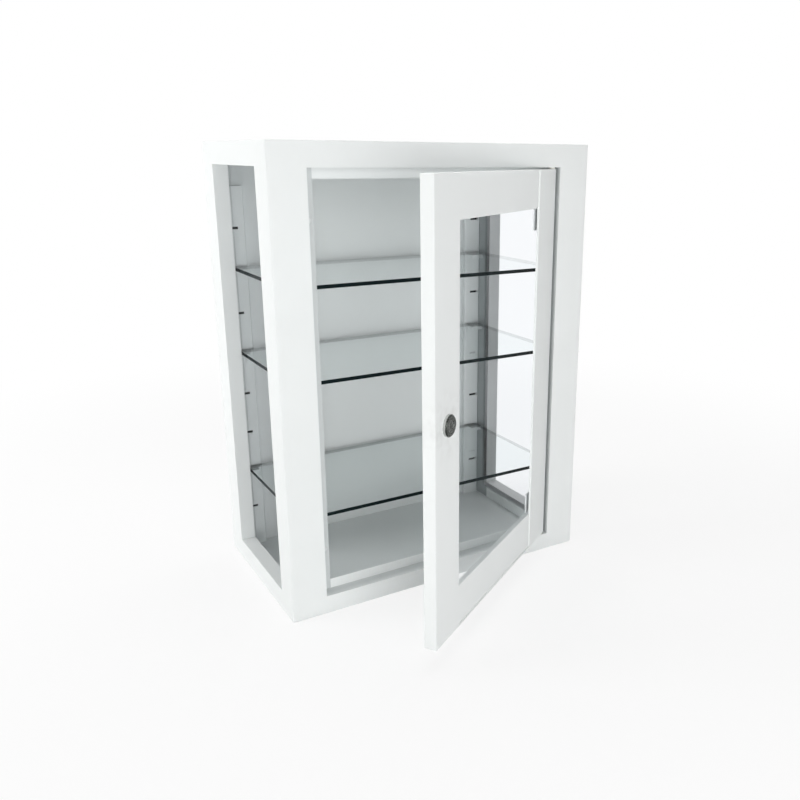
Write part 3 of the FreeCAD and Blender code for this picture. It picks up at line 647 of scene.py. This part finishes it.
def lathe(mesh, profile, matrix):
    """Turn radius and height pairs about the local Z axis."""
    rings = []
    for radius, height in profile:
        count = 1 if radius < TINY else LATHE_STEPS
        turns = [2 * math.pi * i / count for i in range(count)]
        rings.append([
            mesh.verts.new(matrix @ Vector((radius * math.cos(turn), radius * math.sin(turn), height)))
            for turn in turns
        ])
    for lower, upper in zip(rings, rings[1:]):
        for i in range(LATHE_STEPS):
            corners = [ring[k % len(ring)] for ring, k in (
                (lower, i), (lower, (i + 1) % LATHE_STEPS), (upper, (i + 1) % LATHE_STEPS), (upper, i),
            )]
            mesh.faces.new(list(dict.fromkeys(corners)))


def slab(mesh, low, high, matrix):
    """A box between two corners."""
    middle, size = (low + high) / 2, high - low
    place = matrix @ Matrix.Translation(middle) @ Matrix.Diagonal((*size, 1.0))
    bmesh.ops.create_cube(mesh, size=1.0, matrix=place)


def new_object(name, mesh):
    bmesh.ops.recalc_face_normals(mesh, faces=mesh.faces)
    data = bpy.data.meshes.new(name)
    mesh.to_mesh(data)
    mesh.free()
    piece = bpy.data.objects.new(name, data)
    bpy.context.scene.collection.objects.link(piece)
    return piece


def carve(piece, cutter):
    """Cut one object out of another for good, and delete the cutter."""
    tool = piece.modifiers.new("carve", "BOOLEAN")
    tool.object = cutter
    tool.solver = "EXACT"
    tool.use_self = True
    graph = bpy.context.evaluated_depsgraph_get()
    shaped = bpy.data.meshes.new_from_object(piece.evaluated_get(graph))
    piece.modifiers.clear()
    old = piece.data
    piece.data = shaped
    bpy.data.meshes.remove(old)
    bpy.data.objects.remove(cutter)
    if not shaped.polygons:
        raise RuntimeError(f"nothing is left of {piece.name} after the cut")


def finish_piece(piece, finish, body, slot, *replaced):
    """Shade a new piece, attach it to what carries it, and hide the nodes that it stands for."""
    piece.data.shade_smooth()
    piece.data.set_sharp_from_angle(angle=math.radians(35))
    piece.data.materials.clear()
    piece.data.materials.append(finish)
    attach(piece, body)
    if replaced:
        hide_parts(*replaced)


def make_screws(name, screws, fittings):
    """Crowned screws with a cross recess.

    Each is the seat of its head, the direction out of it, and four sizes: the head's radius and thickness,
    and the shank's radius and length.
    """
    heads = bmesh.new()
    crosses = bmesh.new()
    for seat, out, head, thick, shank, length in screws:
        turn = out.to_track_quat("Z", "Y").to_matrix().to_4x4()
        place = Matrix.Translation(seat) @ turn
        tip = shank - length
        stem = [(0.0, -length), (0.5 * shank, tip), (shank, tip), (shank, 0.0)]
        lathe(heads, stem + [(head * wide, thick * tall) for wide, tall in SCREW_CROWN], place)
        reach, half = fittings.recess_length * head, fittings.recess_width * head
        base = thick * (1.0 - fittings.recess_depth)
        for wide, deep in ((reach, half), (half, reach)):
            slab(crosses, Vector((-wide, -deep, base)), Vector((wide, deep, 2 * thick)), place)
    piece = new_object(name, heads)
    cutter = new_object(f"{name}_cross", crosses)
    carve(piece, cutter)
    return piece


class CABINET_OT_coat_steelwork(bpy.types.Operator):
    """Powder coat the carcass, the door frame and the clips, with shade painted into recesses"""

    bl_idname = "cabinet.coat_steelwork"
    bl_label = "Coat Steelwork"

    def execute(self, context):
        look = context.scene.cabinet_finishes
        dress(slot_nodes("powder_coat"), powder_coat(look))
        dress(["door_stile_lock"], handled_coat(look))
        dress(["back_panel"], back_coat(look))
        # Paint shade into the recesses, corners and gaps listed above
        for names, fade, share, inner in PAINTED_SHADE_RECESSES:
            dress(names, painted_shade_coat(look, names[-1], fade, share, inner))
        clips = [name for name in SLOTS if name.startswith("shelf_clips") or name == "door_pane_clips"]
        break_edges(clips, context.scene.cabinet_fittings.edge_break)
        return {"FINISHED"}


class CABINET_OT_glaze_sides(bpy.types.Operator):
    """Give the side panes and the door pane clear glass, and the side panes their foam tape"""

    bl_idname = "cabinet.glaze_sides"
    bl_label = "Glaze Sides and Door"

    def execute(self, context):
        look = context.scene.cabinet_finishes
        for names, across in (
            (["side_pane_left", "side_pane_right"], ACROSS), (["door_pane"], THROUGH_DOOR),
        ):
            dress(names, sheer_glass(
                f"{names[0]}_glass", across, look.pane_tint, look.pane_edge, PANE_EDGE_SHARES, PANE_INDEX,
            ))
        ease_glass(slot_nodes("pane_glass"))
        tape = moulded("foam_tape", look.tape_colour, roughness=0.8, scale=900.0)
        dress(slot_nodes("glazing_tape"), tape)
        return {"FINISHED"}


class CABINET_OT_lay_shelves(bpy.types.Operator):
    """Give the shelves clear glass with deep green edges"""

    bl_idname = "cabinet.lay_shelves"
    bl_label = "Lay Shelves"

    def execute(self, context):
        look = context.scene.cabinet_finishes
        glass = sheer_glass(
            "shelf_glass", UP, look.shelf_tint, look.glass_edge, SHELF_EDGE_SHARES, SHELF_INDEX,
        )
        dress(slot_nodes("shelf_glass"), glass)
        ease_glass(slot_nodes("shelf_glass"))
        return {"FINISHED"}


class CABINET_OT_fit_hinges(bpy.types.Operator):
    """Finish the pivot pins, their blocks and their nylon bushes"""

    bl_idname = "cabinet.fit_hinges"
    bl_label = "Fit Hinges"

    def execute(self, context):
        look = context.scene.cabinet_finishes
        dress(slot_nodes("pin_steel"), brushed("pin_steel", look.steel_colour, scale=1500.0))
        nylon = moulded("bush_nylon", look.nylon_colour, roughness=0.45, scale=700.0)
        dress(slot_nodes("bush_nylon"), nylon)
        return {"FINISHED"}


class CABINET_OT_fit_lock(bpy.types.Operator):
    """Finish the lock, and add its cam screw with a cross recess and its dust shutter"""

    bl_idname = "cabinet.fit_lock"
    bl_label = "Fit Lock"

    def execute(self, context):
        look = context.scene.cabinet_finishes
        fittings = context.scene.cabinet_fittings
        # The barrel's rim gets a painted highlight; the plug's rim keeps the plug's colour
        for name, colour, rim, pitch in (
            ("barrel", look.barrel_colour, look.rim_highlight_colour, BARREL_PITCH),
            ("plug", look.plug_colour, look.plug_colour, PLUG_PITCH),
        ):
            dress([f"lock_{name}"], lock_plating(f"{name}_plating", colour, rim, pitch))
        zinc = brushed("zinc_plate", look.zinc_colour, scale=800.0)
        dress(["lock_nut", "lock_cam"], zinc)
        break_edges(["lock_nut", "lock_cam"], fittings.edge_break)

        # The screw's head is the wide end of its solid, on the inside of the door
        (low, high), = solids_of("cam_screw", DOOR)
        head = (high.x - low.x) / 2
        thick = CAM_HEAD * head
        seat = DOOR @ Vector((0.0, high.y - thick, 0.0))
        length = high.y - low.y - thick
        screw = make_screws(
            "cam_screw_crossed", [(seat, THROUGH_DOOR, head, thick, CAM_SHANK * head, length)], fittings,
        )
        finish_piece(screw, zinc, "key_lock", "zinc_steel", "cam_screw")

        (low, high), = solids_of("lock_plug", DOOR)
        shutter = bmesh.new()
        wide, thick, tall = fittings.shutter_size
        face = low.y + fittings.shutter_depth
        corner = Vector((wide / 2, face + thick, tall / 2))
        slab(shutter, Vector((-corner.x, face, -corner.z)), corner, DOOR)
        piece = new_object("lock_shutter", shutter)
        finish_piece(piece, zinc, "key_lock", "zinc_steel")
        return {"FINISHED"}


class CABINET_OT_drive_pane_screws(bpy.types.Operator):
    """Replace the plain screws of the pane clips by crowned ones with a cross recess"""

    bl_idname = "cabinet.drive_pane_screws"
    bl_label = "Drive Pane Screws"

    def execute(self, context):
        look = context.scene.cabinet_finishes
        boxes = solids_of("pane_clip_screws", DOOR)
        middle = sum((low.x + high.x for low, high in boxes)) / len(boxes) / 2
        screws = []
        for low, high in boxes:
            head = (high.z - low.z) / 2
            thick = CLIP_HEAD * head
            out = 1 if high.x < middle else -1
            tip = high.x if out > 0 else low.x
            seat = DOOR @ Vector((tip - out * thick, (low.y + high.y) / 2, (low.z + high.z) / 2))
            length = high.x - low.x - thick
            screws.append((seat, out * ALONG_DOOR, head, thick, CLIP_SHANK * head, length))
        piece = make_screws("pane_clip_screws_crossed", screws, context.scene.cabinet_fittings)
        zinc = brushed("screw_zinc", look.zinc_colour, scale=900.0)
        finish_piece(piece, zinc, "door", "zinc_steel", "pane_clip_screws")
        return {"FINISHED"}


class CABINET_OT_stick_buffers(bpy.types.Operator):
    """Replace the plain door buffers by domed rubber ones"""

    bl_idname = "cabinet.stick_buffers"
    bl_label = "Stick Buffers"

    def execute(self, context):
        look = context.scene.cabinet_finishes
        domes = bmesh.new()
        for low, high in solids_of("door_buffers", Matrix.Identity(4)):
            radius, thick = (high.x - low.x) / 2, high.y - low.y
            seat = Vector(((low.x + high.x) / 2, high.y, (low.z + high.z) / 2))
            place = Matrix.Translation(seat) @ Matrix.Rotation(math.radians(90), 4, "X")
            dome = [(radius * wide, thick * tall) for wide, tall in BUFFER_DOME]
            lathe(domes, [(0.0, 0.0)] + dome, place)
        rubber = moulded("buffer_rubber", look.buffer_colour, roughness=0.35, scale=600.0)
        piece = new_object("door_buffers_domed", domes)
        finish_piece(piece, rubber, "carcass", "buffer_rubber", "door_buffers")
        return {"FINISHED"}


class CABINET_OT_set_stage(bpy.types.Operator):
    """Make the pale floor, the white surroundings, the soft lamps and the camera"""

    bl_idname = "cabinet.set_stage"
    bl_label = "Set Stage"

    def execute(self, context):
        stage = context.scene.cabinet_stage
        context.scene.view_settings.view_transform = "Standard"
        self.lay_floor(stage)
        self.light_world(context.scene, stage)
        for name, place, size, power, mirrored in LAMPS:
            lamp = bpy.data.lights.new(name, "AREA")
            lamp.size = size
            lamp.energy = getattr(stage, power)
            holder = bpy.data.objects.new(name, lamp)
            holder.location = place
            holder.rotation_euler = (LAMP_TARGET - holder.location).to_track_quat("-Z", "Y").to_euler()
            holder.visible_camera = False
            holder.visible_glossy = mirrored
            context.scene.collection.objects.link(holder)
        self.aim_camera(context.scene, stage)
        return {"FINISHED"}

    def lay_floor(self, stage):
        mesh = bmesh.new()
        bmesh.ops.create_grid(mesh, x_segments=1, y_segments=1, size=FLOOR_HALF)
        floor = new_object("floor", mesh)
        floor.location.z = -FLOOR_GAP
        pale = new_finish("pale_floor")
        place = pale.place()
        speckle = pale.noise(place, scale=40.0, detail=3.0)
        matt = pale.shader({
            "Base Color": solid(stage.floor_colour),
            "Roughness": 0.75 + 0.1 * speckle,
            "Specular IOR Level": 0.1,
        })
        white = pale.node("ShaderNodeEmission", {}, {"Color": WHITE, "Strength": 1.0})
        far = pale.ramp(pale.reach(place, Vector((0.0, 0.0, 0.0))), *FLOOR_WHITE_REACH)
        share = FLOOR_NEAR_WHITE + (1.0 - FLOOR_NEAR_WHITE) * far
        floor.data.materials.append(pale.close(pale.mix_shaders(share * pale.seen(), matt, white)))

    def light_world(self, scene, stage):
        scene.world = bpy.data.worlds.new("white_room")
        room = Finish(scene.world)
        soft = room.node("ShaderNodeBackground", {}, {"Color": WHITE, "Strength": stage.world_strength})
        plain = room.node("ShaderNodeBackground", {}, {"Color": WHITE, "Strength": 1.0})
        room.close(room.mix_shaders(room.seen(), soft, plain), "ShaderNodeOutputWorld")

    def aim_camera(self, scene, stage):
        data = bpy.data.cameras.new("photo_camera")
        data.sensor_width = 36.0
        data.lens = stage.lens
        data.shift_x, data.shift_y = stage.shift
        camera = bpy.data.objects.new("photo_camera", data)
        scene.collection.objects.link(camera)
        camera.matrix_world = (
            Matrix.Translation(stage.camera_place)
            @ Matrix.Rotation(-stage.camera_yaw, 4, "Z")
            @ Matrix.Rotation(math.radians(90) - stage.camera_pitch, 4, "X")
            @ Matrix.Rotation(stage.camera_roll, 4, "Z")
        )
        scene.camera = camera


class CABINET_PT_looks(bpy.types.Panel):
    """Lists the steps that dress the cabinet"""

    bl_idname = "CABINET_PT_looks"
    bl_label = "Medicine Cabinet"
    bl_space_type = "VIEW_3D"
    bl_region_type = "UI"
    bl_category = "Cabinet"

    def draw(self, context):
        for step in STEPS:
            self.layout.operator(step.bl_idname)
        scene = context.scene
        for group in (scene.cabinet_finishes, scene.cabinet_fittings, scene.cabinet_stage):
            part = self.layout.box()
            for name in group.__annotations__:
                part.prop(group, name)


GROUPS = (CabinetFinishes, CabinetFittings, CabinetStage)
STEPS = (
    CABINET_OT_coat_steelwork,
    CABINET_OT_glaze_sides,
    CABINET_OT_lay_shelves,
    CABINET_OT_fit_hinges,
    CABINET_OT_fit_lock,
    CABINET_OT_drive_pane_screws,
    CABINET_OT_stick_buffers,
    CABINET_OT_set_stage,
)
CLASSES = (*GROUPS, *STEPS, CABINET_PT_looks)


def register():
    for cls in CLASSES:
        bpy.utils.register_class(cls)
    bpy.types.Scene.cabinet_finishes = PointerProperty(type=CabinetFinishes)
    bpy.types.Scene.cabinet_fittings = PointerProperty(type=CabinetFittings)
    bpy.types.Scene.cabinet_stage = PointerProperty(type=CabinetStage)


def unregister():
    del bpy.types.Scene.cabinet_stage
    del bpy.types.Scene.cabinet_fittings
    del bpy.types.Scene.cabinet_finishes
    for cls in reversed(CLASSES):
        bpy.utils.unregister_class(cls)


def main():
    register()
    bpy.ops.cabinet.coat_steelwork()
    bpy.ops.cabinet.glaze_sides()
    bpy.ops.cabinet.lay_shelves()
    bpy.ops.cabinet.fit_hinges()
    bpy.ops.cabinet.fit_lock()
    bpy.ops.cabinet.drive_pane_screws()
    bpy.ops.cabinet.stick_buffers()
    bpy.ops.cabinet.set_stage()


if __name__ == "__main__":
    main()
